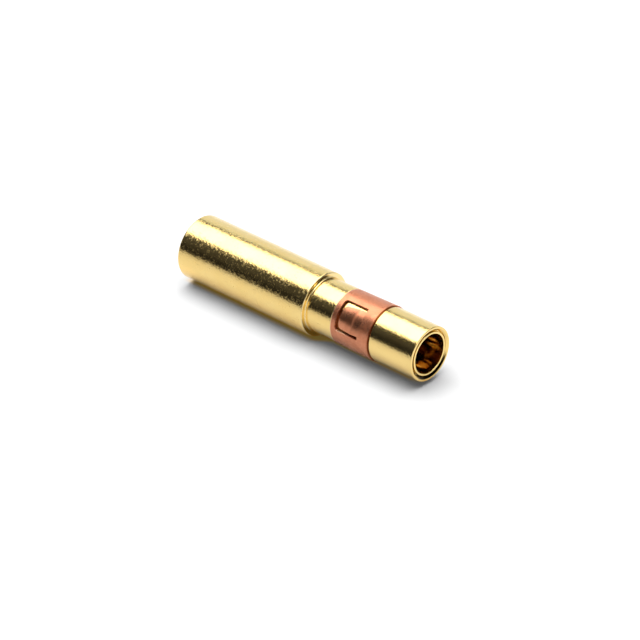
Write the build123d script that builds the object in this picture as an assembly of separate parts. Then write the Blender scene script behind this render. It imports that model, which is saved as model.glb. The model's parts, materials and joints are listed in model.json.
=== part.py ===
"""A large crimp socket contact: a turned body, a split retention clip and a spring sleeve.

Millimetres. The contact's axis is +Z. Z = 0 is the rear face, where the wire goes in,
and the open mating end is at the top. The retention tine that faces -Y is the first one.
"""
from build123d import *
from math import radians, tan
import os

# Radii, chained outwards from the pin that the contact mates with
mating_pin_d = 3.6
socket_clearance = 0.3       # mouth's diameter over the pin's
sleeve_wall = 0.21
sleeve_clearance = 0.01      # radial, between the sleeve and its seat in the nose
rim_gap_width = 0.12         # ring-shaped gap between the sleeve's seat and the rim
rim_wall = 0.39
shoulder_height = 0.47       # step from the neck up to the crimp barrel
crimp_wall = 0.85

# Crimp barrel, the thick rear half
barrel_len = 15.76           # rear face to the shoulder's flat face
shoulder_round = 0.11        # outer edge of the shoulder
rear_round = 0.15            # outer edge of the rear face
wire_bore_depth = 10.4       # full diameter, without the drill point
wire_mouth_chamfer = 0.35
drill_point_angle = 118      # included angle of both drill points
inspection_d = 1.3           # sight hole on the side away from the first tine
inspection_up = 0.4          # drill shoulder of the wire bore to the sight hole's edge

# Neck and nose, which share one outside diameter
neck_len = 3.11              # shoulder face to the groove
nose_len = 5.1               # groove to the front face
neck_fillet = 0.11           # corner between the neck and the shoulder
groove_edge_break = 0.05     # both outer corners of the groove
nose_edge_break = 0.07       # outer edge of the front face
rim_gap_depth = 0.45
rim_inner_break = 0.16

# Retention clip, a split rolled sleeve that is sprung into the groove
clip_len = 4.57
clip_wall = 0.22
clip_flare = 0.09            # radius gained from the clip's rear end to its front end
clip_bore_clearance = 0.01   # radial, over the groove's floor
clip_end_gap = 0.16          # axial, between the clip and the nose
clip_edge_break = 0.06
clip_split = 0.5             # width of the lengthwise split

# Tines, tongues that a U-shaped cut leaves free towards the shoulder
tine_count = 2
tine_width = 2.4             # straight across the tongue at its root
tine_tip_width = 2.2         # straight across its tip
tine_slit = 0.33             # width of the cut on each side of the root
tine_tip_slit = 0.5          # width of the cut across its tip
tine_tip_inset = 1.05        # clip's rear end to the tongue's tip
tine_crease_inset = 2.64     # clip's rear end to the bend
tine_root_inset = 3.3        # clip's rear end to the root
tine_crease_lift = 0.15      # radius gained at the bend
tine_tip_lift = 0.22         # radius gained at the tip
tine_corner = 0.3            # rounded corners of the tip and of its cut

# Spring sleeve that lines the mating bore
sleeve_len = 7.6
sleeve_recess = 0.06         # front face to the lip
lip_round = 0.07
sleeve_front_collar = 0.6    # unslotted length behind the lip
waist_inset = 2.2            # lip to the narrowest place of the fingers
sleeve_rear_collar = 0.9     # unslotted length at the shelf
finger_grip = 0.08           # how far the relaxed fingers close inside the pin's diameter
finger_count = 6
finger_slot = 0.3
relief_depth = 1.3           # bore behind the sleeve's shelf, without the drill point

# Sizes that follow from those above
sleeve_bore_r = (mating_pin_d + socket_clearance) / 2
sleeve_r = sleeve_bore_r + sleeve_wall
seat_r = sleeve_r + sleeve_clearance
rim_inner_r = seat_r + rim_gap_width
nose_r = rim_inner_r + rim_wall
barrel_r = nose_r + shoulder_height
wire_r = barrel_r - crimp_wall
clip_rear_r = nose_r         # the clip is flush with the neck at its rear end
groove_r = clip_rear_r - clip_wall - clip_bore_clearance
z_shoulder = barrel_len
z_groove = z_shoulder + neck_len
z_nose = z_groove + clip_len + clip_end_gap
z_front = z_nose + nose_len
z_lip = z_front - sleeve_recess
z_shelf = z_lip - sleeve_len
z_relief = z_shelf - relief_depth


def turned(*points):
    """Solid turned about the axis from a closed outline of (radius, height) points."""
    return revolve(Plane.XZ * make_face(Polyline(*points, close=True)), axis=Axis.Z)


def cylinder(radius, z_low, z_high):
    """Cylinder on the axis between two heights."""
    return Pos(0, 0, (z_low + z_high) / 2) * Cylinder(radius, z_high - z_low)


def drill(radius, z_mouth, z_bottom):
    """Drilled hole along the axis: a cylinder from z_mouth to z_bottom, then its point."""
    away = 1 if z_bottom > z_mouth else -1
    z_tip = z_bottom + away * radius / tan(radians(drill_point_angle / 2))
    return turned((0, z_mouth), (radius, z_mouth), (radius, z_bottom), (0, z_tip))


def circles_at(part, radius, height):
    """Round edges of that radius at that height."""
    return [edge for edge in part.edges().filter_by(GeomType.CIRCLE)
            if abs(edge.radius - radius) < 1e-4 and abs(edge.center(CenterOf.MASS).Z - height) < 1e-4]


def body_blank():
    """Turned outside of the body: barrel, shoulder, neck, clip groove and nose."""
    blank = turned((0, 0), (barrel_r, 0), (barrel_r, z_shoulder), (nose_r, z_shoulder),
                   (nose_r, z_groove), (groove_r, z_groove), (groove_r, z_nose), (nose_r, z_nose),
                   (nose_r, z_front), (0, z_front))
    blank = fillet(circles_at(blank, barrel_r, z_shoulder), shoulder_round)
    blank = fillet(circles_at(blank, nose_r, z_shoulder), neck_fillet)
    blank = fillet(circles_at(blank, barrel_r, 0), rear_round)
    blank = chamfer(circles_at(blank, nose_r, z_front), nose_edge_break)
    groove_corners = circles_at(blank, nose_r, z_groove) + circles_at(blank, nose_r, z_nose)
    return chamfer(groove_corners, groove_edge_break)


def crimp_hole():
    """Wire bore with its countersunk mouth, and the sight hole that shows the wire's end."""
    bore = drill(wire_r, 0, wire_bore_depth)
    mouth_r = wire_r + wire_mouth_chamfer
    mouth = turned((0, 0), (mouth_r, 0), (wire_r, wire_mouth_chamfer), (0, wire_mouth_chamfer))
    z_sight = wire_bore_depth - inspection_up - inspection_d / 2
    outwards = (Align.CENTER, Align.CENTER, Align.MIN)
    sight = Pos(0, 0, z_sight) * Rot(-90, 0, 0) * Cylinder(inspection_d / 2, 2 * barrel_r, align=outwards)
    return bore + mouth + sight


def mating_hole():
    """Stepped bore of the nose: ring-shaped gap at the rim, sleeve seat, shelf and relief."""
    seat = cylinder(seat_r, z_shelf, z_front)
    gap = cylinder(rim_inner_r, z_front - rim_gap_depth, z_front)
    return seat + gap + drill(sleeve_bore_r, z_front, z_relief)


def contact_body():
    """The one-piece turned body."""
    body = body_blank() - crimp_hole() - mating_hole()
    return chamfer(circles_at(body, rim_inner_r, z_front), rim_inner_break)


def clip_radius(inset):
    """Outer radius of the slightly flared clip at a distance from its rear end."""
    return clip_rear_r + clip_flare * inset / clip_len


def clip_sleeve():
    """Closed flared sleeve before its split and cuts."""
    front_r = clip_radius(clip_len)
    sleeve = turned((clip_rear_r - clip_wall, z_groove), (clip_rear_r, z_groove),
                    (front_r, z_groove + clip_len), (front_r - clip_wall, z_groove + clip_len))
    ends = circles_at(sleeve, clip_rear_r, z_groove) + circles_at(sleeve, front_r, z_groove + clip_len)
    return chamfer(ends, clip_edge_break)


def tongue_prism(tip_width, root_width, tip_inset):
    """Straight prism along -Y with the outline of a tongue, rounded at the corners of its tip."""
    low = z_groove + tip_inset
    high = z_groove + tine_root_inset
    outline = Polyline((-tip_width / 2, low), (tip_width / 2, low), (root_width / 2, high),
                       (-root_width / 2, high), close=True)
    prism = extrude(Plane.XZ * make_face(outline), 2 * barrel_r)
    low_corners = prism.edges().filter_by(Axis.Y).group_by(Axis.Z)[0]
    return fillet(low_corners, tine_corner)


def window():
    """Prism that cuts the opening in which a tongue lies."""
    width = tine_width + 2 * tine_slit
    return tongue_prism(width, width, tine_tip_inset - tine_tip_slit)


def tine():
    """Bent tongue that rises from its root to the bend and on to its free tip."""
    insets = (tine_root_inset, tine_crease_inset, tine_tip_inset)
    lifts = (0, tine_crease_lift, tine_tip_lift)
    outer = [(clip_radius(inset) + lift, z_groove + inset) for inset, lift in zip(insets, lifts)]
    inner = [(radius - clip_wall, height) for radius, height in reversed(outer)]
    return turned(*outer, *inner) & tongue_prism(tine_tip_width, tine_width, tine_tip_inset)


def retention_clip():
    """Split clip with its tines, the first one facing -Y."""
    clip = clip_sleeve()
    for index in range(tine_count):
        turn = Rot(0, 0, index * 360 / tine_count)
        clip -= turn * window()
        clip += turn * tine()
    split_angle = 180 / tine_count
    split = Rot(0, 0, split_angle) * Pos(0, 0, z_groove + clip_len / 2) * Box(
        clip_split, 2 * barrel_r, 2 * clip_len, align=(Align.CENTER, Align.MAX, Align.CENTER))
    return clip - split


def bowed(radius, waist_r, z_low, z_waist, z_high):
    """Smooth line from a radius in to the waist and out again, parallel to the axis at each point."""
    points = ((radius, z_low), (waist_r, z_waist), (radius, z_high))
    upwards = ((0, 1), (0, 1))
    return [Spline(start, end, tangents=upwards) for start, end in zip(points, points[1:])]


def sleeve_profile():
    """Wall of the spring sleeve: lip, front collar, fingers that close to a waist, rear collar."""
    waist_r = mating_pin_d / 2 - finger_grip / 2
    z_slots_top = z_lip - sleeve_front_collar
    z_slots_low = z_shelf + sleeve_rear_collar
    z_waist = z_lip - waist_inset
    inner = bowed(sleeve_bore_r, waist_r, z_slots_low, z_waist, z_slots_top)
    outer = bowed(sleeve_r, waist_r + sleeve_wall, z_slots_low, z_waist, z_slots_top)
    front = Polyline((sleeve_bore_r, z_slots_top), (sleeve_bore_r, z_lip), (sleeve_r, z_lip),
                     (sleeve_r, z_slots_top))
    rear = Polyline((sleeve_bore_r, z_slots_low), (sleeve_bore_r, z_shelf), (sleeve_r, z_shelf),
                    (sleeve_r, z_slots_low))
    edges = [edge for line in (*inner, *outer, front, rear) for edge in line.edges()]
    return Plane.XZ * make_face(Wire(edges))


def socket_sleeve():
    """Spring sleeve: a closed lip in front and fingers that close inwards between two collars."""
    sleeve = revolve(sleeve_profile(), axis=Axis.Z)
    sleeve = fillet(circles_at(sleeve, sleeve_bore_r, z_lip), lip_round)
    sleeve = chamfer(circles_at(sleeve, sleeve_r, z_lip), lip_round)
    slot_len = sleeve_len - sleeve_front_collar - sleeve_rear_collar
    slot_z = z_shelf + sleeve_rear_collar + slot_len / 2
    slot = Pos(0, 0, slot_z) * Box(sleeve_r * 2, finger_slot, slot_len,
                                   align=(Align.MIN, Align.CENTER, Align.CENTER))
    for index in range(finger_count):
        sleeve -= Rot(0, 0, index * 360 / finger_count) * slot
    return sleeve


def main():
    os.makedirs("parts", exist_ok=True)
    nodes = {"contact_body": contact_body(), "retention_clip": retention_clip(),
             "socket_sleeve": socket_sleeve()}
    for name, solid in nodes.items():
        export_step(solid, f"parts/{name}.step")


if __name__ == "__main__":
    main()
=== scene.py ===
import json
import math

import bpy
import numpy as np
from bpy.props import FloatProperty, FloatVectorProperty, IntProperty, PointerProperty
from bpy.types import Operator, Panel, PropertyGroup
from mathutils import Matrix, Vector


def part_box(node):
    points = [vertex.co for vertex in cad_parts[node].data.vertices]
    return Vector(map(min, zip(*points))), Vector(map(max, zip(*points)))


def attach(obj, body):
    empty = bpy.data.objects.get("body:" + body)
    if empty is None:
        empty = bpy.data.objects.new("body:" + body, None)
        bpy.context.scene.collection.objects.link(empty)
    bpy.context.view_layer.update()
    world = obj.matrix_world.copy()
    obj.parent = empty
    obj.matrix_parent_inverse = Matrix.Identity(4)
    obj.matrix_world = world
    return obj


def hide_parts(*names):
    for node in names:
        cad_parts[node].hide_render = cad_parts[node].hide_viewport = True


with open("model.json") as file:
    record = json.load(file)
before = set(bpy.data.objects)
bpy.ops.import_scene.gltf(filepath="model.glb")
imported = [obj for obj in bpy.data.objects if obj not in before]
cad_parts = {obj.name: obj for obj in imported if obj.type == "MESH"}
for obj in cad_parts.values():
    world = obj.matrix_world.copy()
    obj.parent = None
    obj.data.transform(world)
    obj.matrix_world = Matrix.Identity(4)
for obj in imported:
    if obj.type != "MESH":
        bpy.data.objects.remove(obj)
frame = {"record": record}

bl_info = {
    "name": "Crimp Power Contact",
    "version": (1, 0, 0),
    "blender": (4, 5, 0),
    "location": "3D View > Sidebar > Contact",
    "description": "Dresses a turned crimp contact with its plating, retention clip and spring sleeve",
    "category": "Object",
}

MM = 0.001
GROWN = 1000.0
SHARP_ANGLE = math.radians(32)
BEVEL_ANGLE, WALL_SHARP_ANGLE = math.radians(50), math.radians(40)
DRILL_HALF_ANGLE = math.radians(59)
MOUNTS = {mount["name"]: mount for mount in frame["record"]["mounts"]}
SHOULDER_HEIGHT = MOUNTS["shoulder"]["pos_m"][2]
BODY_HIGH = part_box("contact_body")[1]
CLIP_LOW, CLIP_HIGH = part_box("retention_clip")
SLEEVE_LOW, SLEEVE_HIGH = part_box("socket_sleeve")
PHOTO_SIDE = 640


def mount_radius(name):
    """Radius that the record states for a mount."""
    return MOUNTS[name]["dims"]["r_mm"] * MM


def length(name, description, default):
    """A length property in metres."""
    return FloatProperty(name=name, description=description, default=default, min=0.0, precision=6,
                         unit="LENGTH", subtype="DISTANCE")


def angle(name, description, degrees):
    """An angle property, given in degrees."""
    return FloatProperty(name=name, description=description, default=math.radians(degrees),
                         unit="ROTATION", subtype="ANGLE")


def colour(name, description, default):
    """A linear colour property."""
    return FloatVectorProperty(name=name, description=description, default=default, size=3,
                               min=0.0, max=1.0, subtype="COLOR")


def factor(name, description, default):
    """A share from 0 to 1."""
    return FloatProperty(name=name, description=description, default=default, min=0.0, max=1.0,
                         subtype="FACTOR")


class BodySizes(PropertyGroup):
    """Sizes of the turned body."""
    barrel_radius: length("Barrel radius", "Outside of the crimp barrel", BODY_HIGH.x)
    front_height: length("Front height", "Rear face to the front face", BODY_HIGH.z)
    shoulder_height: length("Shoulder height", "Rear face to the shoulder's face", SHOULDER_HEIGHT)
    shoulder_round: length("Shoulder round", "Rounding of the shoulder's outer corner", 0.11 * MM)
    neck_fillet: length("Neck fillet", "Rounding of the corner between shoulder and neck", 0.11 * MM)
    nose_radius: length("Nose radius", "Outside of the neck and the nose", mount_radius("nose"))
    rear_round: length("Rear round", "Rounding of the rear end's outer corner", 0.15 * MM)
    groove_edge: length("Groove edge", "Rounding of the groove's outer corners", 0.05 * MM)
    nose_edge: length("Nose edge", "Rounding of the nose's outer corner", 0.07 * MM)
    fine_edge: length("Fine edge", "Rounding of all other corners", 0.03 * MM)
    wire_radius: length("Wire bore radius", "Inside of the crimp barrel", mount_radius("crimp_bore"))
    wire_depth: length("Wire bore depth", "Rear face to the drill shoulder", 10.4 * MM)
    wire_chamfer: length("Wire chamfer", "Countersink of the wire bore", 0.35 * MM)
    mouth_radius: length("Mouth radius", "Inside of the sleeve's lip", mount_radius("mating_bore"))
    groove_drop: length("Groove drop", "Depth of the clip groove", 0.23 * MM)
    clip_end_gap: length("Clip end gap", "Gap between the clip and the nose", 0.16 * MM)
    rim_wall: length("Rim wall", "Thickness of the thin rim", 0.39 * MM)
    rim_break: length("Rim break", "Chamfer inside the rim", 0.16 * MM)
    rim_gap_depth: length("Rim gap depth", "Depth of the gap inside the rim", 0.45 * MM)
    shelf_height: length("Shelf height", "Rear face to the sleeve's shelf", SLEEVE_LOW.z)
    relief_depth: length("Relief depth", "Bore behind the shelf", 1.3 * MM)
    seat_radius: length("Seat radius", "Bore that the sleeve sits in", SLEEVE_HIGH.x + 0.01 * MM)
    sight_radius: length("Sight hole radius", "Hole that shows the wire's end", 0.65 * MM)
    sight_height: length("Sight hole height", "Rear face to the hole's centre", 9.35 * MM)
    turns: IntProperty(name="Turns", description="Steps round the axis", default=256, min=48, max=512)


class ClipSizes(PropertyGroup):
    """Sizes of the retention clip."""
    rear_height: length("Rear height", "Rear face of the body to the clip", CLIP_LOW.z)
    clip_length: length("Clip length", "Length along the axis", CLIP_HIGH.z - CLIP_LOW.z)
    wall: length("Wall", "Thickness of the strip", 0.22 * MM)
    flare: length("Flare", "Radius gained towards the front end", 0.09 * MM)
    split: length("Split", "Width of the lengthwise split", 0.5 * MM)
    tine_half: length("Tine half width", "Half the tongue's width at its root", 1.2 * MM)
    tine_taper: length("Tine taper", "How much narrower each side is at the tip", 0.18 * MM)
    slit: length("Slit", "Width of the cut beside the tongue's root", 0.3 * MM)
    tip_slit: length("Tip slit", "Width of the cut across the tip", 0.5 * MM)
    tip_inset: length("Tip inset", "Rear end of the clip to the tip", 1.05 * MM)
    crease_inset: length("Crease inset", "Rear end of the clip to the bend", 2.64 * MM)
    root_inset: length("Root inset", "Rear end of the clip to the root", 3.3 * MM)
    crease_lift: length("Crease lift", "Radius gained at the bend", 0.21 * MM)
    tip_lift: length("Tip lift", "Radius gained at the tip", 0.2 * MM)
    lean: length("Lean", "How far the tongue's tip leans to one side", 0.1 * MM)
    crown: length("Crown", "How far the tongue's long edges curl in at the tip", 0.12 * MM)
    corner: length("Corner", "Radius of the cut's corners", 0.3 * MM)
    edge: length("Edge", "Rounding of the strip's edges", 0.06 * MM)


class SleeveSizes(PropertyGroup):
    """Sizes of the spring sleeve."""
    outer_radius: length("Outer radius", "Outside of the collars", SLEEVE_HIGH.x)
    low_height: length("Low height", "Rear face of the body to the sleeve", SLEEVE_LOW.z)
    lip_height: length("Lip height", "Rear face of the body to the lip", SLEEVE_HIGH.z)
    front_collar: length("Front collar", "Unslotted length behind the lip", 0.6 * MM)
    waist_inset: length("Waist inset", "Lip to the narrowest place of the fingers", 2.2 * MM)
    rear_collar: length("Rear collar", "Unslotted length at the shelf", 0.9 * MM)
    waist_radius: length("Waist radius", "Smallest inside radius between the fingers", 1.76 * MM)
    finger_slot: length("Finger slot", "Width of a slot between fingers", 0.3 * MM)
    fingers: IntProperty(name="Fingers", description="Number of fingers", default=6, min=3, max=12)
    edge: length("Edge", "Rounding of the sleeve's edges", 0.05 * MM)


class Finish(PropertyGroup):
    """Colours and surface of the finishes."""
    gold: colour("Gold", "Plating in the light", (0.94, 0.69, 0.27))
    gold_deep: colour("Deep gold", "Plating where it is thicker", (0.92, 0.655, 0.235))
    gold_sleeve: colour("Sleeve gold", "Paler plating of the spring sleeve", (1.0, 0.76, 0.3))
    # Painted sheen: a lighter gold that brightens the shoulder face's reflection
    gold_shoulder_sheen: colour("Shoulder gold", "Paler plating on the shoulder's face", (1.0, 0.8, 0.42))
    gold_scratch: colour("Gold scratch", "Faint scratches in the plating", (0.45, 0.30, 0.12))
    gold_roughness: factor("Gold roughness", "Roughness of the plating", 0.12)
    # Painted shade: this colour darkens the groove's floor under the clip
    groove_shade: colour("Groove film", "Dark film on the groove's floor", (0.2, 0.07, 0.02))
    # Painted shade: this colour darkens the lower side of the rim's gap
    gap_shade: colour("Gap film", "Dark film in the underside of the rim's gap", (0.03, 0.018, 0.005))
    # Painted shade: amber darkening inside the bore, standing in for light lost between many reflections
    bore_amber_shade: colour("Bore film", "Amber film inside the sleeve", (0.74, 0.36, 0.04))
    # Painted shade: darker colour at both sides of the bore
    bore_shade: colour("Bore shade", "Darker film at both sides of the bore", (0.3, 0.11, 0.02))
    copper: colour("Copper", "Clip in the light", (0.67, 0.268, 0.144))
    copper_deep: colour("Deep copper", "Clip where it is tarnished", (0.6, 0.225, 0.115))
    copper_speck: colour("Copper speck", "Small dark specks on the clip", (0.42, 0.22, 0.14))
    # Painted highlight: a lighter copper along the clip's rear edge, standing in for its reflection
    copper_edge_highlight: colour("Copper rim", "Bare edge at the clip's rear end", (0.95, 0.72, 0.5))
    # Painted highlight: a bright copper on the slit's lower wall, where light falls on the cut face
    copper_wall_highlight: colour("Copper burr", "Bright burr on the slit's lower wall", (1.0, 0.74, 0.52))
    copper_roughness: factor("Copper roughness", "Roughness of the clip", 0.28)


class StageSetup(PropertyGroup):
    """Camera, floor and light. The contact is photographed lying on its side."""
    elevation: angle("Elevation", "Camera above the table", 31.34)
    bearing: angle("Bearing", "Camera away from the contact's axis, on the table", 47.71)
    tine_turn: angle("Tine turn", "First tine above the table's horizon, round the axis", 34.1)
    focal_px: FloatProperty(name="Focal length in pixels", description="Measured in the photograph",
                            default=4474.0)
    distance: length("Distance", "Camera to the shoulder", 412.5 * MM)
    aim_height: length("Aim height", "Rear face to the point of the axis that sets the camera", 15.65 * MM)
    aim_px: FloatVectorProperty(name="Aim pixel", description="Where that point shows in the picture",
                                default=(323.48, 304.02), size=2)
    light_height: length("Light height", "Soft light above the contact", 0.6)
    light_radiance: FloatProperty(name="Light radiance", description="Brightness of the soft light's face",
                                  default=3.1, min=0.0)
    light_reach: FloatVectorProperty(name="Light reach", size=4,
                                     description="Back, front, left and right edge as shares of its height",
                                     default=(-1.03, 0.495, -0.97, 0.62))
    ambient: factor("Ambient", "Plain light from all sides", 0.12)
    wall: factor("Wall", "Brightness of the far wall in reflections", 1.0)
    wall_tint: colour("Wall tint", "Colour of the far wall in reflections", (0.89, 0.95, 1.0))
    paper: factor("Paper", "Whiteness of the table", 0.865)
    # Painted light: the warm glow painted on the table where the gold throws light
    paper_gold_glow: colour("Warm paper", "Table where the gold lights it", (1.0, 0.61, 0.13))
    glow_tint: colour("Glow tint", "Light that the gold throws on the table", (1.0, 0.66, 0.15))
    bounce: factor("Bounce", "Strength of that light in reflections", 0.15)


def rounded_path(corners, arc_steps=10, guard=0.015 * MM):
    """Outline through corners (radius, height, rounding) as an array of points.

    Each rounding r becomes the arc tangent to both sides: it starts and ends r / tan(half) from the
    corner, half being half the angle between the sides, and runs between them about its centre. Every
    straight run gets a guard point close to each end, which keeps the shading of the run flat.
    """
    points = np.array([corner[:2] for corner in corners], float)
    pieces = [points[:1]]
    for index in range(1, len(points) - 1):
        rounding = corners[index][2]
        here = points[index]
        if rounding <= 0:
            pieces.append(here[None])
            continue
        before = points[index - 1] - here
        after = points[index + 1] - here
        before /= np.linalg.norm(before)
        after /= np.linalg.norm(after)
        half = math.acos(np.clip(before @ after, -1, 1)) / 2
        reach = rounding / math.tan(half)
        centre = here + (before + after) / np.linalg.norm(before + after) * rounding / math.sin(half)
        start, end = here + before * reach - centre, here + after * reach - centre
        sweep = math.pi - 2 * half
        share = np.linspace(0, 1, arc_steps + 1)[:, None]
        arc = start * np.sin(sweep * (1 - share)) + end * np.sin(sweep * share)
        pieces.append(centre + arc / math.sin(sweep))
    pieces.append(points[-1:])
    out = [pieces[0]]
    for first, second in zip(pieces, pieces[1:]):
        run = second[0] - first[-1]
        size = np.linalg.norm(run)
        if size > 6 * guard:
            out.append(np.array([first[-1] + run / size * guard, second[0] - run / size * guard]))
        out.append(second)
    return np.concatenate(out)


def make_object(name, vertices, faces):
    """Mesh object at the origin with smooth faces, whose sharp edges stay sharp."""
    mesh = bpy.data.meshes.new(name)
    mesh.from_pydata(vertices.tolist(), [], faces)
    mesh.validate()
    mesh.shade_smooth()
    mesh.set_sharp_from_angle(angle=SHARP_ANGLE)
    piece = bpy.data.objects.new(name, mesh)
    bpy.context.scene.collection.objects.link(piece)
    return piece


def grid_faces(rows, columns, wrap):
    """Quads of a grid of vertices stored row by row, and whether its last column meets its first."""
    last = columns if wrap else columns - 1
    row, column = np.meshgrid(np.arange(rows - 1), np.arange(last), indexing="ij")
    after = (column + 1) % columns
    return np.stack([row * columns + column, row * columns + after,
                     (row + 1) * columns + after, (row + 1) * columns + column], -1)


def around_axis(radii, angles, heights):
    """Points x = r sin a, y = -r cos a, z = height, row by row."""
    grids = np.broadcast_arrays(radii * np.sin(angles), -radii * np.cos(angles), heights)
    return np.stack(grids, -1).reshape(-1, 3)


def turned(name, path, turns):
    """Turned surface: each point (r, height) of the path goes once round the axis.

    The path starts and ends on the axis and is closed there with one vertex and a fan.
    """
    around = np.arange(turns) * 2 * math.pi / turns
    ring = path[1:-1]
    vertices = around_axis(ring[:, :1], around, ring[:, 1:])
    vertices = np.vstack([vertices, [0, 0, path[0, 1]], [0, 0, path[-1, 1]]])
    faces = grid_faces(len(ring), turns, True).reshape(-1, 4).tolist()
    first, last = len(vertices) - 2, len(vertices) - 1
    top = (len(ring) - 1) * turns
    step = np.arange(turns)
    faces += np.stack([np.full(turns, first), (step + 1) % turns, step], -1).tolist()
    faces += np.stack([top + step, top + (step + 1) % turns, np.full(turns, last)], -1).tolist()
    return make_object(name, vertices, faces)


def bake_modifiers(piece):
    """Puts the result of a grown piece's modifiers into its mesh and gives it its true size.

    Bevels and Booleans lose edges of a few micrometres, so they run on a piece in millimetres.
    """
    graph = bpy.context.evaluated_depsgraph_get()
    mesh = bpy.data.meshes.new_from_object(piece.evaluated_get(graph))
    piece.modifiers.clear()
    mesh.transform(Matrix.Scale(1 / GROWN, 4))
    piece.data = mesh


def give_wall(piece, wall, edge, segments):
    """Thickens a surface inwards, rounds its edges and keeps the sharp ones sharp."""
    piece.data.transform(Matrix.Scale(GROWN, 4))
    shell = piece.modifiers.new("Wall", "SOLIDIFY")
    shell.thickness, shell.offset, shell.use_even_offset = wall * GROWN, -1, True
    bevel = piece.modifiers.new("Edges", "BEVEL")
    bevel.width, bevel.segments, bevel.limit_method = edge * GROWN, segments, "ANGLE"
    bevel.angle_limit = BEVEL_ANGLE
    bake_modifiers(piece)
    piece.data.set_sharp_from_angle(angle=WALL_SHARP_ANGLE)


class Field:
    """A number in a shader. Arithmetic on it adds Math nodes."""

    def __init__(self, shader, socket):
        self.shader, self.socket = shader, socket

    def _math(self, operation, *values):
        return self.shader.value("ShaderNodeMath", {"operation": operation}, values)

    def __add__(self, other):
        return self._math("ADD", self, other)

    __radd__ = __add__

    def __sub__(self, other):
        return self._math("SUBTRACT", self, other)

    def __rsub__(self, other):
        return self._math("SUBTRACT", other, self)

    def __mul__(self, other):
        return self._math("MULTIPLY", self, other)

    __rmul__ = __mul__

    def __truediv__(self, other):
        return self._math("DIVIDE", self, other)

    def __rtruediv__(self, other):
        return self._math("DIVIDE", other, self)

    def __abs__(self):
        return self._math("ABSOLUTE", self)

    def sqrt(self):
        return self._math("SQRT", self)

    def atan2(self, other):
        return self._math("ARCTAN2", self, other)

    def clamp(self):
        return self.shader.value("ShaderNodeClamp", {}, {"Value": self})

    def rise(self, low, high):
        """Smooth step from 0 at low to 1 at high."""
        settings = {"interpolation_type": "SMOOTHSTEP"}
        return self.shader.value("ShaderNodeMapRange", settings,
                                 {"Value": self, "From Min": low, "From Max": high})

    def fall(self, low, high):
        """Smooth step from 1 at low to 0 at high."""
        return 1 - self.rise(low, high)

    def band(self, rise_low, rise_high, fall_low, fall_high):
        """1 between two smooth steps, and 0 on both sides of them."""
        return self.rise(rise_low, rise_high) * self.fall(fall_low, fall_high)


class Shader:
    """Builds one node tree."""

    def __init__(self, tree):
        self.tree = tree
        tree.nodes.clear()

    def node(self, kind, settings, inputs):
        """Adds a node: its settings first, then its inputs by name or place, as values or links."""
        node = self.tree.nodes.new(kind)
        for name, value in settings.items():
            setattr(node, name, value)
        pairs = inputs.items() if isinstance(inputs, dict) else enumerate(inputs)
        for name, value in pairs:
            if isinstance(value, Field):
                self.tree.links.new(value.socket, node.inputs[name])
            elif isinstance(value, bpy.types.NodeSocket):
                self.tree.links.new(value, node.inputs[name])
            else:
                node.inputs[name].default_value = value
        return node

    def value(self, kind, settings, inputs, output=0):
        return Field(self, self.node(kind, settings, inputs).outputs[output])

    def place(self):
        """Object coordinates as a vector socket and its three parts."""
        vector = self.node("ShaderNodeTexCoord", {}, {}).outputs["Object"]
        parts = self.node("ShaderNodeSeparateXYZ", {}, {"Vector": vector})
        return vector, [Field(self, part) for part in parts.outputs]

    def rays(self):
        """1 for camera rays, and 1 for reflected rays."""
        path = self.node("ShaderNodeLightPath", {}, {})
        return Field(self, path.outputs["Is Camera Ray"]), Field(self, path.outputs["Is Glossy Ray"])

    def along(self, vector, axis):
        """Part of a vector along an axis."""
        settings = {"operation": "DOT_PRODUCT"}
        return self.value("ShaderNodeVectorMath", settings, [vector, tuple(axis)], "Value")

    def noise(self, vector, size, detail=3.0, roughness=0.5, stretch=(1, 1, 1)):
        """Noise whose features are about size metres, drawn out along an axis by stretch."""
        scale = tuple(1 / (size * amount) for amount in stretch)
        mapped = self.node("ShaderNodeMapping", {}, {"Vector": vector, "Scale": scale}).outputs[0]
        inputs = {"Vector": mapped, "Scale": 1.0, "Detail": detail, "Roughness": roughness}
        return self.value("ShaderNodeTexNoise", {}, inputs, "Fac")

    def line_noise(self, value, size, detail=2.0):
        """Noise along one number, for turning marks."""
        inputs = {"W": value / size, "Scale": 1.0, "Detail": detail}
        return self.value("ShaderNodeTexNoise", {"noise_dimensions": "1D"}, inputs, "Fac")

    def mix(self, share, first, second):
        """Colour between two colours."""
        node = self.node("ShaderNodeMix", {"data_type": "RGBA"}, {"Factor": share})
        for name, value in (("A", first), ("B", second)):
            socket = [entry for entry in node.inputs if entry.name == name and entry.type == "RGBA"][0]
            if isinstance(value, bpy.types.NodeSocket):
                self.tree.links.new(value, socket)
            else:
                socket.default_value = (*value, 1.0)
        return [entry for entry in node.outputs if entry.type == "RGBA"][0]

    def bump(self, height, distance, normal=None):
        inputs = {"Height": height, "Distance": distance, "Strength": 1.0}
        if normal is not None:
            inputs["Normal"] = normal
        return self.node("ShaderNodeBump", {}, inputs).outputs[0]

    def metal(self, base, roughness, normal):
        """Metallic surface, joined to the output."""
        inputs = {"Base Color": base, "Roughness": roughness, "Metallic": 1.0, "Normal": normal}
        surface = self.node("ShaderNodeBsdfPrincipled", {}, inputs)
        self.node("ShaderNodeOutputMaterial", {}, {"Surface": surface.outputs[0]})


def new_material(name):
    """Empty material and the builder of its nodes."""
    material = bpy.data.materials.new(name)
    material.use_nodes = True
    return material, Shader(material.node_tree)


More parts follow.
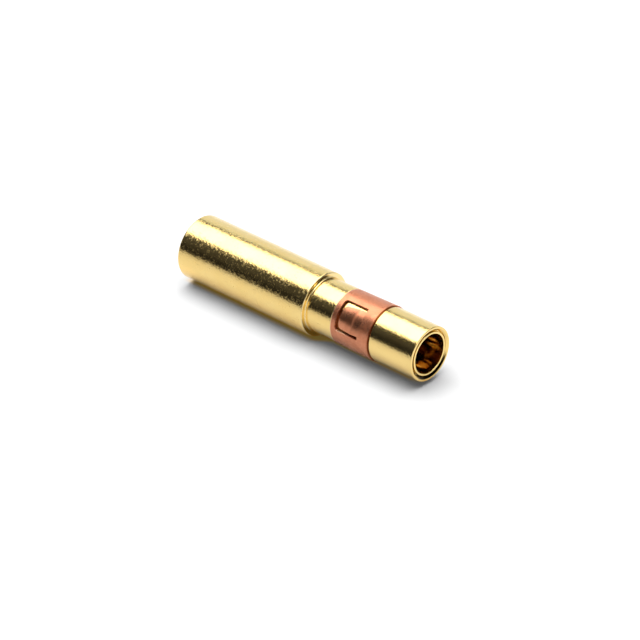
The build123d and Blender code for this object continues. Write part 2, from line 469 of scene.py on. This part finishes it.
def groove_shade_mask(x, z, radius):
    """Painted shade on the floor of the clip's groove, less an unshaded stretch under the tine's upper
    slit.
    """
    nose = mount_radius("nose")
    groove = z.band(CLIP_LOW.z, CLIP_LOW.z + 0.02 * MM, CLIP_HIGH.z, CLIP_HIGH.z + 0.2 * MM)
    unshaded = x.fall(-0.8 * MM, -0.65 * MM) * z.rise(CLIP_LOW.z + 0.75 * MM, CLIP_LOW.z + 0.85 * MM)
    return groove * radius.fall(nose - 0.2 * MM, nose) * (1 - unshaded)


def shoulder_sheen_mask(z, radius):
    """Painted sheen on the face of the shoulder with its roundings."""
    nose = mount_radius("nose")
    from_face = z - SHOULDER_HEIGHT
    face = from_face.band(-0.14 * MM, -0.04 * MM, 0.1 * MM, 0.2 * MM)
    return face * radius.rise(nose - 0.18 * MM, nose - 0.08 * MM)


def gap_shade_mask(x, y, z, radius):
    """Painted shade on the underside of the ring-shaped gap between the sleeve and the rim."""
    sleeve, rim = SLEEVE_HIGH.x, mount_radius("nose") - 0.2 * MM
    ring = radius.band(sleeve - 0.01 * MM, sleeve + 0.03 * MM, rim - 0.02 * MM, rim + 0.01 * MM)
    front = z.rise(BODY_HIGH.z - 0.6 * MM, BODY_HIGH.z - 0.5 * MM)
    down = (x + y) * math.sqrt(0.5)
    return ring * front * down.rise(1.1 * MM, 1.7 * MM)


def bore_masks(x, z, radius):
    """Painted amber shade inside the sleeve behind its lip, painted shade at its two sides, and the height
    of two raised places.

    The raised places lie on both sides of the plane x = 0.15 mm and rise from the lip inwards.
    """
    mouth = mount_radius("mating_bore")
    depth, aside = SLEEVE_HIGH.z - z, abs(x - 0.15 * MM)
    inside = depth.band(0.2 * MM, 0.35 * MM, 11 * MM, 12 * MM)
    inside = inside * radius.fall(mouth + 0.05 * MM, mouth + 0.1 * MM)
    sides = inside * aside.rise(1.25 * MM, 1.45 * MM)
    raised = depth.rise(0.4 * MM, 2.0 * MM) * aside.band(0.45 * MM, 0.75 * MM, 1.3 * MM, 1.5 * MM)
    return inside, sides, raised


def plating(finish, name, wave_height, paleness=0.0, mottling=0.165, raised_height=0.0):
    """Bright gold plating over fine turning marks, with grain, faint scratches and thicker patches.

    The body and the sleeve share it. Painted shade darkens the groove, the rim's gap and the bore, and a
    painted sheen lightens the shoulder's face.
    """
    material, shader = new_material(name)
    vector, (x, y, z) = shader.place()
    radius = (x * x + y * y).sqrt()
    marks = shader.line_noise(z + radius, 0.03 * MM)
    wave = shader.noise(vector, 1.2 * MM, detail=1.0)
    grain = shader.noise(vector, 0.09 * MM, detail=4.0, roughness=0.65)
    mottle = shader.noise(vector, 0.2 * MM, detail=2.0, roughness=0.6)
    patches = shader.noise(vector, 2.5 * MM)
    scratch = shader.noise(vector, 0.12 * MM, detail=1.0, stretch=(1, 1, 7)).rise(0.7, 0.78)
    bore, bore_sides, raised = bore_masks(x, z, radius)
    coats = (
        (paleness, finish.gold_sleeve),
        (scratch * 0.35, finish.gold_scratch),
        # Painted shade in the groove under the clip
        (groove_shade_mask(x, z, radius) * 0.9, finish.groove_shade),
        # Painted sheen on the shoulder's face
        (shoulder_sheen_mask(z, radius) * 0.6, finish.gold_shoulder_sheen),
        # Painted amber shade inside the bore
        (bore * 0.4, finish.bore_amber_shade),
        # Painted shade at the bore's two sides
        (bore_sides * 0.6, finish.bore_shade),
        # Painted shade on the lower side of the rim's gap
        (gap_shade_mask(x, y, z, radius) * 0.97, finish.gap_shade),
    )
    base = shader.mix(patches.rise(0.35, 0.75) * 0.8, finish.gold, finish.gold_deep)
    for share, coat in coats:
        base = shader.mix(share, base, coat)
    # The mottling fades over the neck, so the nose is smoother
    mottling = mottling * (1 - z.rise(16 * MM, 19 * MM) * 0.55)
    roughness = finish.gold_roughness + (grain - 0.5) * 0.1 + scratch * 0.15
    roughness = roughness + mottle.rise(0.45, 0.7) * mottling
    normal = shader.bump(wave, wave_height)
    if raised_height:
        normal = shader.bump(raised, raised_height, normal)
    normal = shader.bump(mottle, 0.014 * MM, normal)
    normal = shader.bump(marks * 0.25 + grain - scratch * 0.8, 0.003 * MM, normal)
    shader.metal(base, roughness, normal)
    return material


def tongue_masks(x, inset, sizes):
    """Worn face of the tongue, the ridge of its bend, and a painted highlight on the slit's lower wall."""
    wall, tip, root = sizes.tine_half + sizes.slit, sizes.tip_inset, sizes.root_inset
    worn = abs(x).fall(sizes.tine_half - 0.05 * MM, sizes.tine_half + 0.1 * MM)
    worn = worn * inset.band(tip - 0.1 * MM, tip + 0.05 * MM, root - 0.1 * MM, root + 0.3 * MM)
    ridge = abs(inset - sizes.crease_inset).fall(0.03 * MM, 0.1 * MM)
    lit_wall = x.band(wall - 0.2 * MM, wall - 0.14 * MM, wall, wall + 0.06 * MM)
    lit_wall = lit_wall * inset.band(tip - 0.45 * MM, tip - 0.15 * MM, root - 1.3 * MM, root - 0.9 * MM)
    return worn, ridge * worn, lit_wall


def spring_strip(finish, sizes, name):
    """Satin copper-coloured strip with rolling lines, soft tarnish, pits and small specks, and painted
    highlights on its rear edge and on the slit's lower wall.
    """
    material, shader = new_material(name)
    vector, (x, y, z) = shader.place()
    inset = z - sizes.rear_height
    rolling = shader.noise(vector, 0.05 * MM, stretch=(1, 1, 14))
    cloud = shader.noise(vector, 0.9 * MM)
    grain = shader.noise(vector, 0.06 * MM, roughness=0.6)
    speck = shader.noise(vector, 0.16 * MM, detail=1.0).rise(0.72, 0.8)
    pits = shader.noise(vector, 0.035 * MM, detail=1.0).rise(0.5, 0.6)
    worn, ridge, lit_wall = tongue_masks(x, inset, sizes)
    base = shader.mix(cloud.rise(0.35, 0.75), finish.copper, finish.copper_deep)
    base = shader.mix(speck * 0.5, base, finish.copper_speck)
    # Painted highlight along the clip's rear edge
    base = shader.mix(inset.fall(0.03 * MM, 0.09 * MM) * 0.7, base, finish.copper_edge_highlight)
    # Painted highlight on the slit's lower wall
    base = shader.mix(lit_wall * 0.9, base, finish.copper_wall_highlight)
    roughness = finish.copper_roughness + (cloud - 0.5) * 0.12 + (grain - 0.5) * 0.1
    roughness = roughness + ridge * 0.2 + pits * (1 - worn * 0.85) * 0.4
    # A gentle slope across the strip makes it look slightly out of round
    normal = shader.bump(x * (-1 / MM), 0.045 * MM)
    normal = shader.bump(rolling * 0.6 + grain * 0.6, 0.0025 * MM, normal)
    shader.metal(base, roughness, normal)
    return material


def finish_piece(piece, material, node):
    """Gives a piece its material and its place in the frame."""
    piece.data.materials.clear()
    piece.data.materials.append(material)
    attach(piece, "root")
    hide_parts(node)


def body_path(sizes):
    """Half section of the body, from the wire bore's drill point to the relief bore's."""
    point = math.tan(DRILL_HALF_ANGLE)
    groove = sizes.nose_radius - sizes.groove_drop
    z_groove = CLIP_LOW.z
    z_nose = CLIP_HIGH.z + sizes.clip_end_gap
    rim_inner = sizes.nose_radius - sizes.rim_wall
    z_relief = sizes.shelf_height - sizes.relief_depth
    z_gap = sizes.front_height - sizes.rim_gap_depth
    fine = sizes.fine_edge
    corners = [
        (0, sizes.wire_depth + sizes.wire_radius / point, 0),
        (sizes.wire_radius, sizes.wire_depth, fine),
        (sizes.wire_radius, sizes.wire_chamfer, fine),
        (sizes.wire_radius + sizes.wire_chamfer, 0, fine),
        (sizes.barrel_radius, 0, sizes.rear_round),
        (sizes.barrel_radius, sizes.shoulder_height, sizes.shoulder_round),
        (sizes.nose_radius, sizes.shoulder_height, sizes.neck_fillet),
        (sizes.nose_radius, z_groove, sizes.groove_edge),
        (groove, z_groove, fine),
        (groove, z_nose, fine),
        (sizes.nose_radius, z_nose, sizes.groove_edge),
        (sizes.nose_radius, sizes.front_height, sizes.nose_edge),
        (rim_inner + sizes.rim_break, sizes.front_height, fine),
        (rim_inner, sizes.front_height - sizes.rim_break, fine),
        (rim_inner, z_gap, fine),
        (sizes.seat_radius, z_gap, fine),
        (sizes.seat_radius, sizes.shelf_height, 0),
        (sizes.mouth_radius, sizes.shelf_height, fine),
        (sizes.mouth_radius, z_relief, fine),
        (0, z_relief - sizes.mouth_radius / point, 0),
    ]
    return rounded_path(corners)


def sight_drill(sizes):
    """Cutter for the sight hole: a turned rod that flares at the barrel's outside, laid along +Y."""
    inner_end, outer_end = 0.5 * MM, sizes.barrel_radius + 0.3 * MM
    flare, flare_round = 0.05 * MM, 0.04 * MM
    path = rounded_path([(0, inner_end, 0), (sizes.sight_radius, inner_end, 0),
                         (sizes.sight_radius, sizes.barrel_radius - flare, flare_round),
                         (sizes.sight_radius + flare * 6, outer_end, 0), (0, outer_end, 0)])
    drill = turned("sight_drill", path, 96)
    place = Matrix.Translation((0, 0, sizes.sight_height))
    drill.data.transform(place @ Matrix.Rotation(-math.pi / 2, 4, "X"))
    return drill


class CONTACT_OT_body(Operator):
    """Turn the body and drill its sight hole"""
    bl_idname = "contact.body"
    bl_label = "Body"

    def execute(self, context):
        sizes, finish = context.scene.contact_body, context.scene.contact_finish
        body, drill = turned("turned_body", body_path(sizes), sizes.turns), sight_drill(sizes)
        body.data.transform(Matrix.Scale(GROWN, 4))
        drill.data.transform(Matrix.Scale(GROWN, 4))
        cut = body.modifiers.new("Sight hole", "BOOLEAN")
        cut.operation, cut.object, cut.solver = "DIFFERENCE", drill, "EXACT"
        bake_modifiers(body)
        bpy.data.objects.remove(drill)
        body.data.set_sharp_from_angle(angle=SHARP_ANGLE)
        gold = plating(finish, "Gold plating", wave_height=0.012 * MM)
        finish_piece(body, gold, "contact_body")
        return {"FINISHED"}


def clip_radius(sizes, inset):
    """Outer radius of the flared clip at a distance from its rear end."""
    return mount_radius("nose") + sizes.flare * inset / sizes.clip_length


def tongue_radius(sizes, inset, across):
    """Extra radius of the tongue: a line from the root up to the bend and a flatter one on to the tip.

    Across it the radius falls by crown times the square of the share of the half width, more so
    towards the tip, which curls the long edges in.
    """
    ramp = np.clip((sizes.root_inset - inset) / (sizes.root_inset - sizes.crease_inset), 0, 1)
    run = np.clip((sizes.crease_inset - inset) / (sizes.crease_inset - sizes.tip_inset), 0, 1)
    lift = sizes.crease_lift * ramp + (sizes.tip_lift - sizes.crease_lift) * run
    return lift - sizes.crown * across ** 2 * np.clip(ramp * 0.4 + run * 0.6, 0, 1)


def cut_outline(sizes, half_width, start, rows):
    """Outline of the cut or of the tongue, as half widths and insets from its end to the tongue's root.

    It starts with a quarter circle, w - c + c sin p at start + c (1 - cos p), and runs on straight.
    """
    bend = np.linspace(0, math.pi / 2, rows // 4 + 1)
    width = half_width - sizes.corner * (1 - np.sin(bend))
    inset = start + sizes.corner * (1 - np.cos(bend))
    straight = np.linspace(inset[-1], sizes.root_inset, rows - len(bend) + 1)[1:]
    return np.append(width, np.full(len(straight), half_width)), np.append(inset, straight)


def clip_half(sizes, low_limit, high_limit, side_steps=40, tongue_steps=36, rows=(6, 64, 14)):
    """Half of the unrolled clip, as angle, inset and radius arrays and a mask of the quads to keep.

    Angles run between two limits about the tongue. A point at half width w lies at the angle
    asin(w / r). The sides end at the cut's outline. The tongue has an outline of its own that narrows
    in a line towards the tip and leans by lean / r times the same share. The quads of the cut, between
    the two outlines and before the tip, are left out.
    """
    low_rows, cut_rows, top_rows = rows
    radius = clip_radius(sizes, 0.0)
    window_start = sizes.tip_inset - sizes.tip_slit
    window_width, window_inset = cut_outline(sizes, sizes.tine_half + sizes.slit, window_start, cut_rows)
    tongue_width, tongue_inset = cut_outline(sizes, sizes.tine_half, sizes.tip_inset, cut_rows)
    tip_share = (sizes.root_inset - tongue_inset) / (sizes.root_inset - sizes.tip_inset)
    tongue_width -= sizes.tine_taper * tip_share
    low = np.linspace(0, window_start, low_rows + 1)[:-1]
    top = np.linspace(sizes.root_inset, sizes.clip_length, top_rows + 1)[1:]
    side_inset = np.concatenate([low, window_inset, top])
    side_width = np.concatenate([np.full(len(low), window_width[0]), window_width,
                                 np.full(len(top), window_width[-1])])
    share = np.linspace(0, 1, side_steps + 1)
    edge = np.arcsin(side_width / radius)[:, None]
    left = -edge - (low_limit - edge) * share
    right = edge + (high_limit - edge) * share
    across = np.linspace(-1, 1, tongue_steps + 1)
    first_row = len(low) + 1
    corner_inward = 0.97
    middle_inset = np.concatenate([low, [window_start], tongue_inset[1:], top])
    middle_width = np.concatenate([np.full(first_row, window_width[0] * corner_inward), tongue_width[1:],
                                   np.full(len(top), tongue_width[-1])])
    # The first row inside the cut is the tongue's tip itself
    middle_inset[first_row] = tongue_inset[0]
    middle_width[first_row] = tongue_width[0]
    tongue_rows = slice(first_row, first_row + cut_rows - 1)
    middle = np.arcsin(middle_width / radius)[:, None] * across
    middle[tongue_rows] += (sizes.lean / radius * tip_share[1:])[:, None]
    angles = np.hstack([left[:, ::-1], middle, right])
    insets = np.hstack([np.repeat(side_inset[:, None], side_steps + 1, 1),
                        np.repeat(middle_inset[:, None], tongue_steps + 1, 1),
                        np.repeat(side_inset[:, None], side_steps + 1, 1)])
    radii = clip_radius(sizes, insets)
    first_column = side_steps + 1
    tongue = (tongue_rows, slice(first_column, first_column + tongue_steps + 1))
    radii[tongue] += tongue_radius(sizes, insets[tongue], across)
    keep = np.ones((angles.shape[0] - 1, angles.shape[1] - 1), bool)
    cut = slice(first_row - 1, first_row - 1 + cut_rows - 1)
    keep[cut, first_column - 1] = False
    keep[cut, first_column + tongue_steps] = False
    keep[first_row - 1, first_column:first_column + tongue_steps] = False
    return angles, insets, radii, keep


class CONTACT_OT_clip(Operator):
    """Roll the retention clip and spring its tines out"""
    bl_idname = "contact.clip"
    bl_label = "Retention clip"

    def execute(self, context):
        sizes, finish = context.scene.contact_clip, context.scene.contact_finish
        quarter = math.pi / 2
        split_limit = quarter - math.asin(sizes.split / 2 / mount_radius("nose"))
        first = clip_half(sizes, split_limit, quarter)
        second = clip_half(sizes, quarter, split_limit)
        # The halves meet at a quarter turn, where the second one's first column is the first one's last
        angles = np.hstack([first[0] + math.pi, second[0][:, 1:] + 2 * math.pi])
        insets, radii = (np.hstack([first[index], second[index][:, 1:]]) for index in (1, 2))
        keep = np.hstack([first[3], second[3]])
        vertices = around_axis(radii, angles, sizes.rear_height + insets)
        clip = make_object("clip_strip", vertices, grid_faces(*angles.shape, False)[keep].tolist())
        give_wall(clip, sizes.wall, sizes.edge, 3)
        finish_piece(clip, spring_strip(finish, sizes, "Spring strip"), "retention_clip")
        return {"FINISHED"}


def sleeve_surface(sizes, finger_steps=24, collar_rows=3, slot_rows=39, lip_rows=7):
    """Outside of the sleeve, as its angles, heights and radii and a mask of the quads to keep.

    Radius = outer radius - d (1 - cos(pi b)) / 2, where b goes in a line from 0 at the rear end of the
    slots to 1 at the waist and back to 0 at their front end, and d is the bore's radius less the
    waist's. The quads between two fingers are left out over the length of the slots.
    """
    pitch = 2 * math.pi / sizes.fingers
    slot_half = math.asin(sizes.finger_slot / 2 / sizes.outer_radius)
    finger = np.linspace(slot_half, pitch - slot_half, finger_steps)
    around = (np.arange(sizes.fingers)[:, None] * pitch + finger).ravel() + math.pi / 2
    low, high = sizes.low_height, sizes.lip_height
    slot_low, slot_high = low + sizes.rear_collar, high - sizes.front_collar
    heights = np.concatenate([np.linspace(low, slot_low, collar_rows + 1)[:-1],
                              np.linspace(slot_low, slot_high, slot_rows + 1),
                              np.linspace(slot_high, high, lip_rows + 1)[1:]])
    bow = np.interp(heights, [slot_low, high - sizes.waist_inset, slot_high], [0, 1, 0])
    depth = mount_radius("mating_bore") - sizes.waist_radius
    radii = sizes.outer_radius - depth * (1 - np.cos(math.pi * bow)) / 2
    keep = np.ones((len(heights) - 1, len(around)), bool)
    keep[collar_rows:collar_rows + slot_rows, finger_steps - 1::finger_steps] = False
    return around, heights, radii, keep


class CONTACT_OT_sleeve(Operator):
    """Roll the spring sleeve and slot its fingers"""
    bl_idname = "contact.sleeve"
    bl_label = "Spring sleeve"

    def execute(self, context):
        sizes, finish = context.scene.contact_sleeve, context.scene.contact_finish
        around, heights, radii, keep = sleeve_surface(sizes)
        vertices = around_axis(radii[:, None], around, heights[:, None])
        faces = grid_faces(len(heights), len(around), True)[keep]
        sleeve = make_object("spring_sleeve", vertices, faces.tolist())
        give_wall(sleeve, sizes.outer_radius - mount_radius("mating_bore"), sizes.edge, 4)
        gold = plating(finish, "Sleeve plating", wave_height=0.12 * MM, paleness=0.45, mottling=0.0,
                       raised_height=0.26 * MM)
        finish_piece(sleeve, gold, "socket_sleeve")
        return {"FINISHED"}


def sine(degrees):
    return math.sin(math.radians(degrees))


def lying_axes(setup):
    """Directions of the table on which the contact lies, in the frame in which it stands.

    Along is the contact's axis. Up leaves the table, and near points level towards the camera's side.
    The first tine faces -Y and is turned up from near by tine_turn.
    """
    turn = setup.tine_turn
    tine, beside = Vector((0, -1, 0)), Vector((-1, 0, 0))
    up = tine * math.sin(turn) + beside * math.cos(turn)
    near = tine * math.cos(turn) - beside * math.sin(turn)
    return Vector((0, 0, 1)), up, near


class CONTACT_OT_stage(Operator):
    """Lay out the table, the soft light and the camera"""
    bl_idname = "contact.stage"
    bl_label = "Stage"

    def execute(self, context):
        setup = context.scene.contact_stage
        along, up, near = lying_axes(setup)
        self.camera(context, setup, along, up, near)
        self.table(setup, along, up, near)
        toward = along * math.cos(setup.bearing) + near * math.sin(setup.bearing)
        self.light(setup, up, toward, up.cross(toward))
        self.world(context, setup, along, up, near, toward)
        context.scene.view_settings.view_transform = "Standard"
        context.scene.cycles.caustics_reflective = False
        return {"FINISHED"}

    def camera(self, context, setup, along, up, near):
        """Camera whose axes follow from the elevation and the bearing, placed so that a point of the
        contact's axis falls on its pixel."""
        level = along * math.cos(setup.bearing) + near * math.sin(setup.bearing)
        back = level * math.cos(setup.elevation) + up * math.sin(setup.elevation)
        right = up.cross(back).normalized()
        top = back.cross(right)
        aim = along * setup.aim_height
        step = setup.distance / setup.focal_px
        offset_x = (setup.aim_px[0] - PHOTO_SIDE / 2) * step
        offset_y = (PHOTO_SIDE / 2 - setup.aim_px[1]) * step
        data = bpy.data.cameras.new("Camera")
        data.sensor_width = 36.0
        data.lens = setup.focal_px / PHOTO_SIDE * data.sensor_width
        data.clip_start, data.clip_end = 0.01, 10.0
        camera = bpy.data.objects.new("Camera", data)
        context.scene.collection.objects.link(camera)
        place = aim + back * setup.distance - right * offset_x - top * offset_y
        camera.matrix_world = Matrix.Translation(place) @ Matrix((right, top, back)).transposed().to_4x4()
        context.scene.camera = camera

    def table(self, setup, along, up, near):
        """White table that the crimp barrel lies on, clear from below so that no view is blocked."""
        half_side, clearance = 0.2, 0.005 * MM
        foot = along * BODY_HIGH.z / 2 - up * (BODY_HIGH.x + clearance)
        signs = ((-1, -1), (-1, 1), (1, 1), (1, -1))
        corners = [foot + (along * a + near * b) * half_side for a, b in signs]
        table = make_object("table", np.array([tuple(corner) for corner in corners]), [[0, 1, 2, 3]])
        material, shader = new_material("White table")
        paper, tint, strength = self.paper(shader, setup, along, near)
        sheet = shader.node("ShaderNodeBsdfDiffuse", {}, {"Color": paper})
        lift = shader.node("ShaderNodeEmission", {}, {"Color": tint, "Strength": strength})
        lit = shader.node("ShaderNodeAddShader", {}, [sheet.outputs[0], lift.outputs[0]])
        clear = shader.node("ShaderNodeBsdfTransparent", {}, {})
        behind = Field(shader, shader.node("ShaderNodeNewGeometry", {}, {}).outputs["Backfacing"])
        surface = shader.node("ShaderNodeMixShader", {}, [behind, lit.outputs[0], clear.outputs[0]])
        shader.node("ShaderNodeOutputMaterial", {}, {"Surface": surface.outputs[0]})
        table.data.materials.append(material)

    def paper(self, shader, setup, along, near):
        """Colour of the table with a painted warm glow, and tint and strength of the painted light that the
        gold throws on it.

        In reflections the table dims on the near side, a painted shade, with the distance d from the
        contact, from the share close_by, as r / (r + d). There the painted thrown light reaches further
        too, but is weak beside the shoulder. The painted warm glow under the contact is narrower under the
        neck and the nose.
        """
        vector = shader.place()[0]
        camera, glossy = shader.rays()
        offset = shader.along(vector, near)
        spot = shader.along(vector, along) - glossy * 1.5 * MM
        ahead = spot - SHOULDER_HEIGHT
        front, reach, close_by = BODY_HIGH.z, 0.06, 0.93
        # Painted shade in reflections: the table darker with distance on the near side
        dimming = 1 - glossy * (1 - close_by * reach / (reach + offset.clamp()))
        # Painted light: a warm glow painted near the contact line, in place of light the gold throws
        edge = 2 * MM - ahead.rise(-0.36 * MM, 1.74 * MM) * MM
        warm = (edge - abs(offset)).rise(0, 0.7 * MM)
        warm = warm * spot.band(-MM, MM, front - 2.2 * MM, front - 0.2 * MM)
        paper = shader.mix(warm, (setup.paper,) * 3, setup.paper_gold_glow)
        paper = shader.mix(dimming, (0.0, 0.0, 0.0), paper)
        # Painted light in reflections: glow from the gold that lifts the table's shadow
        bounced = glossy * abs(offset).fall(2.6 * MM, 6.2 * MM)
        bounced = bounced * (setup.bounce - ahead.rise(-0.26 * MM, 1.24 * MM) * 0.08)
        shaded = ahead.band(-1.96 * MM, -1.16 * MM, 1.24 * MM, 3.24 * MM)
        tint = shader.mix((warm + glossy).clamp(), (1.0, 1.0, 1.0), setup.glow_tint)
        return paper, tint, camera * 0.06 + warm * 0.05 + bounced * (1 - shaded * 0.9)

    def light(self, setup, up, toward, aside):
        """Soft light overhead, in line with the camera: its edges lie at shares of its height."""
        back, front, left, right = (share * setup.light_height for share in setup.light_reach)
        data = bpy.data.lights.new("Overhead light", "AREA")
        data.shape = "RECTANGLE"
        data.size, data.size_y = right - left, front - back
        data.energy = setup.light_radiance * math.pi * data.size * data.size_y
        lamp = bpy.data.objects.new("Overhead light", data)
        bpy.context.scene.collection.objects.link(lamp)
        centre = up * setup.light_height + toward * (back + front) / 2 + aside * (left + right) / 2
        centre += Vector((0, 0, setup.aim_height))
        axes = Matrix((aside, up.cross(aside), up)).transposed().to_4x4()
        lamp.matrix_world = Matrix.Translation(centre) @ axes

    def world(self, context, setup, along, up, near, toward):
        """White to the camera. Reflections see a far wall low behind the contact, a glow low in front,
        the floor's brightness from below, a small opening ahead of the mouth, and a dim room that is a
        little lighter high up on the near side."""
        world = context.scene.world or bpy.data.worlds.new("World")
        context.scene.world = world
        world.use_nodes = True
        shader = Shader(world.node_tree)
        direction = shader.node("ShaderNodeTexCoord", {}, {}).outputs["Generated"]
        height, nearness = shader.along(direction, up), shader.along(direction, near)
        frontness = shader.along(direction, toward) / (1.0001 - height * height).sqrt()
        bearing = height.atan2(nearness) * (180 / math.pi)
        wall = height.fall(sine(33), sine(37)) * frontness.fall(-0.65, -0.45)
        glow = height.fall(sine(14), sine(24)) * frontness.rise(0.8, 0.92)
        below = bearing.fall(-40, -20)
        opening = shader.along(direction, along).rise(0.93, 0.99) * 1.5
        bright = (wall + glow + below).clamp()
        dim = bearing.rise(14, 34) * 0.03 + bearing.rise(44, 60) * 0.04
        dim = 0.02 + dim * bearing.fall(95, 115)
        room = dim * (1 - bright) + bright * setup.wall + opening
        camera, glossy = shader.rays()
        strength = camera + (1 - camera) * (glossy * room + (1 - glossy) * setup.ambient)
        tint = shader.mix(glossy * wall, (1.0, 1.0, 1.0), setup.wall_tint)
        background = shader.node("ShaderNodeBackground", {}, {"Color": tint, "Strength": strength})
        shader.node("ShaderNodeOutputWorld", {}, {"Surface": background.outputs[0]})


class CONTACT_PT_panel(Panel):
    """Lists the contact's pieces"""
    bl_idname = "CONTACT_PT_panel"
    bl_label = "Crimp Power Contact"
    bl_space_type = "VIEW_3D"
    bl_region_type = "UI"
    bl_category = "Contact"

    def draw(self, context):
        for operator, group in PIECES:
            box = self.layout.box()
            box.operator(operator.bl_idname)
            settings = getattr(context.scene, group)
            for name in settings.__annotations__:
                box.prop(settings, name)


PIECES = ((CONTACT_OT_body, "contact_body"), (CONTACT_OT_clip, "contact_clip"),
          (CONTACT_OT_sleeve, "contact_sleeve"), (CONTACT_OT_stage, "contact_stage"))
GROUPS = {"contact_body": BodySizes, "contact_clip": ClipSizes, "contact_sleeve": SleeveSizes,
          "contact_finish": Finish, "contact_stage": StageSetup}
CLASSES = (*GROUPS.values(), *(operator for operator, _ in PIECES), CONTACT_PT_panel)


def register():
    for entry in CLASSES:
        bpy.utils.register_class(entry)
    for name, group in GROUPS.items():
        setattr(bpy.types.Scene, name, PointerProperty(type=group))


def unregister():
    for name in GROUPS:
        delattr(bpy.types.Scene, name)
    for entry in reversed(CLASSES):
        bpy.utils.unregister_class(entry)


def main():
    """Makes every piece."""
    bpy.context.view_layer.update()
    register()
    bpy.ops.contact.body()
    bpy.ops.contact.clip()
    bpy.ops.contact.sleeve()
    bpy.ops.contact.stage()


if __name__ == "__main__":
    main()
